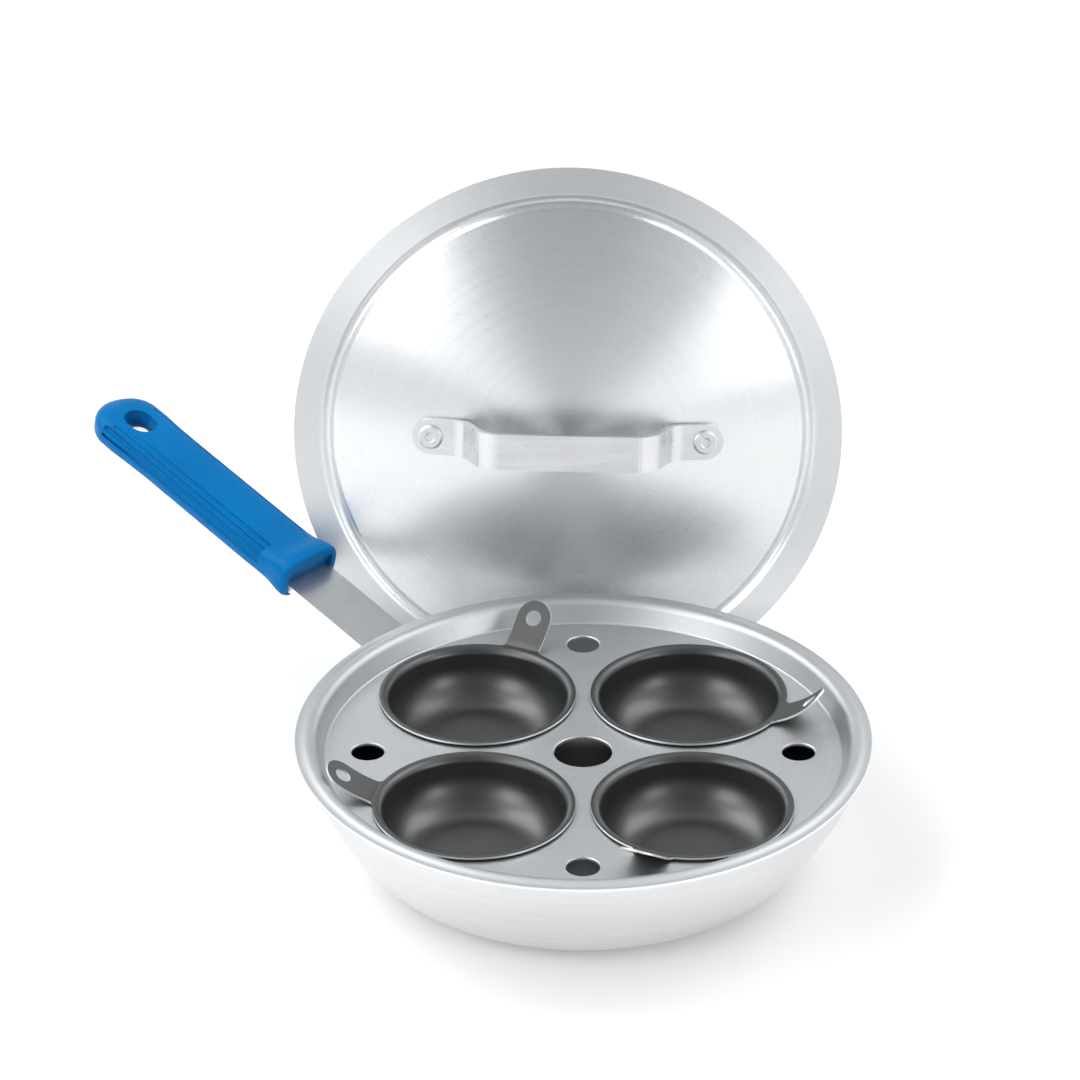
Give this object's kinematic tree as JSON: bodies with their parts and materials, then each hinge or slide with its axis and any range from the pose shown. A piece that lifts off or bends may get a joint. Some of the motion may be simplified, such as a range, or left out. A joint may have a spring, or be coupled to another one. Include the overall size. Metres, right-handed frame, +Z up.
{
  "type": "egg poacher pan",
  "caption": "Shallow spun aluminium pan with a drop-in perforated insert, hanging non-stick egg cups, a sleeved bar handle, and a domed strap-handled lid stood on edge behind it.",
  "frame": {"origin": "centre of the pan's flat base, on the surface it stands on", "axes": "+Z up; +Y from the pan's centre back to the standing lid; +X to the right; the handle points between -X and +Y"},
  "size_m": [0.304, 0.304, 0.2102],
  "materials": {
    "pan": "light satin, spun",
    "insert": "fine brushed",
    "nonstick": "dark grey non-stick coating, soft sheen, bare bright edge",
    "lid": "spun, with circular brush lines",
    "strap": "satin",
    "rivet": "satin",
    "bar": "satin, with bright sheared edges",
    "silicone": "smooth satin silicone"
  },
  "bodies": {
    "pan": {"pan_body": "pan", "handle_tang": "bar", "tang_rivet_left": "rivet", "tang_rivet_right": "rivet", "tang_rivet_lower": "rivet", "handle_grip": "silicone"},
    "insert": {"insert_plate": "insert"},
    "cup_back_left": {"cup_back_left": "nonstick"},
    "cup_back_right": {"cup_back_right": "nonstick"},
    "cup_front_left": {"cup_front_left": "nonstick"},
    "cup_front_right": {"cup_front_right": "nonstick"},
    "lid": {"lid_cover": "lid", "lid_handle": "strap", "lid_rivet_left": "rivet", "lid_rivet_right": "rivet"}
  },
  "joints": [
    {"name": "insert_lift", "type": "slide", "parent": "pan", "child": "insert", "axis": [0, 0, 1], "range_m": [0, 0.04]},
    {"name": "cup_back_left_lift", "type": "slide", "parent": "insert", "child": "cup_back_left", "axis": [0, 0, 1], "range_m": [0, 0.03]},
    {"name": "cup_back_right_lift", "type": "slide", "parent": "insert", "child": "cup_back_right", "axis": [0, 0, 1], "range_m": [0, 0.03]},
    {"name": "cup_front_left_lift", "type": "slide", "parent": "insert", "child": "cup_front_left", "axis": [0, 0, 1], "range_m": [0, 0.03]},
    {"name": "cup_front_right_lift", "type": "slide", "parent": "insert", "child": "cup_front_right", "axis": [0, 0, 1], "range_m": [0, 0.03]},
    {"name": "lid_lift", "type": "slide", "parent": "pan", "child": "lid", "axis": [0, 0, 1], "range_m": [0, 0.2]}
  ]
}
